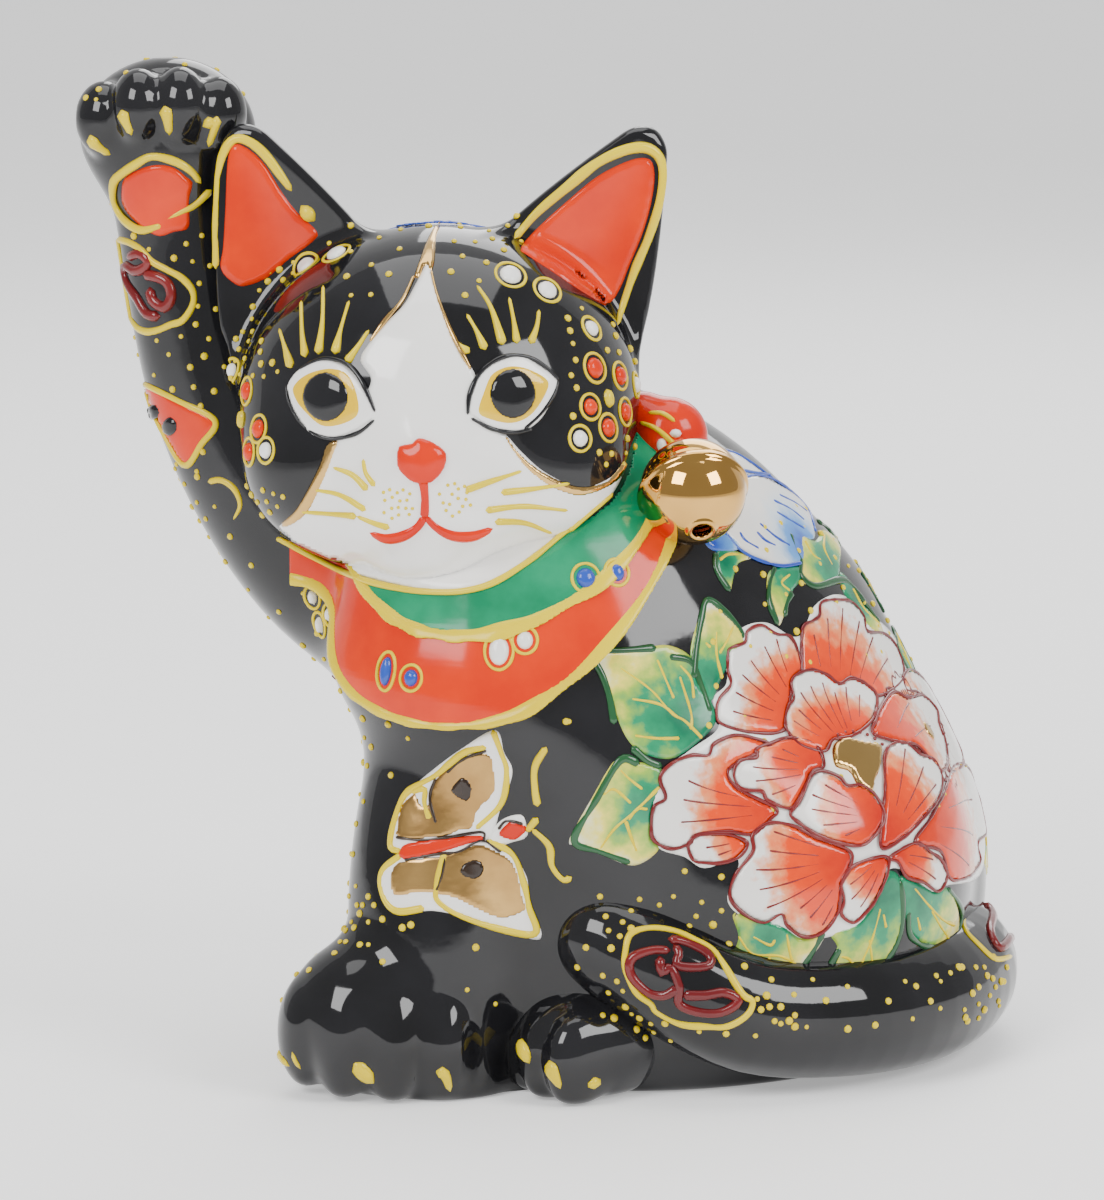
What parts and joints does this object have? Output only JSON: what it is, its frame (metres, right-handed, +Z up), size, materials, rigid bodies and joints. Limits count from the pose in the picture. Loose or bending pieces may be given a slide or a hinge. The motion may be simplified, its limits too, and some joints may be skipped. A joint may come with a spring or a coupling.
{
  "type": "beckoning cat figurine",
  "caption": "Hollow porcelain cat seated on its haunches, its head turned and one foreleg raised beside the ear, with a scarf, a bell and raised enamel flowers.",
  "frame": {"origin": "centre of the figurine's footprint box, on the surface it stands on", "axes": "+Z up; the face looks along -Y; the cat's left side and tail are towards +X"},
  "size_m": [0.1664, 0.1022, 0.175],
  "materials": {
    "black_glaze": "glossy black glaze over porcelain",
    "orange_enamel": "glossy orange-red enamel",
    "red_enamel": "glossy red enamel",
    "green_enamel": "glossy translucent green enamel",
    "yellow_enamel": "raised opaque yellow enamel",
    "white_enamel": "opaque white enamel",
    "blue_enamel": "glossy blue enamel",
    "maroon_enamel": "dark maroon enamel",
    "gold_lustre": "fired gold lustre, mirror-bright",
    "bronze_enamel": "brown-gold enamel"
  },
  "bodies": {
    "root": {"arm_crest": "maroon_enamel", "arm_fan": "orange_enamel", "bell": "gold_lustre", "bib": "red_enamel", "bib_knot": "red_enamel", "bib_trim": "yellow_enamel", "blue_beads": "blue_enamel", "blue_flower": "blue_enamel", "blue_flower_heart": "white_enamel", "body_casting": "black_glaze", "butterfly_body": "red_enamel", "butterfly_wings": "bronze_enamel", "cheek_blossom_left": "orange_enamel", "cheek_blossom_right": "orange_enamel", "collar_trim": "yellow_enamel", "ear_left": "black_glaze", "ear_left_lining": "orange_enamel", "ear_right": "black_glaze", "ear_right_lining": "orange_enamel", "eye_left": "yellow_enamel", "eye_right": "yellow_enamel", "face_white": "white_enamel", "forehead_beads": "white_enamel", "head_casting": "black_glaze", "hind_paw_claws": "yellow_enamel", "hind_paw_left": "black_glaze", "hind_paw_right": "black_glaze", "lashes_left": "yellow_enamel", "lashes_right": "yellow_enamel", "neckband": "green_enamel", "nose": "orange_enamel", "paw_pad": "orange_enamel", "peony": "orange_enamel", "peony_heart": "gold_lustre", "peony_leaves": "green_enamel", "pupil_left": "black_glaze", "pupil_right": "black_glaze", "raised_foreleg": "black_glaze", "raised_paw_claws": "yellow_enamel", "scarf_trim": "yellow_enamel", "standing_foreleg": "black_glaze", "standing_paw_claws": "yellow_enamel", "tail": "black_glaze", "tail_crest": "maroon_enamel", "whiskers_left": "yellow_enamel", "whiskers_right": "yellow_enamel", "white_beads": "white_enamel"}
  },
  "joints": []
}
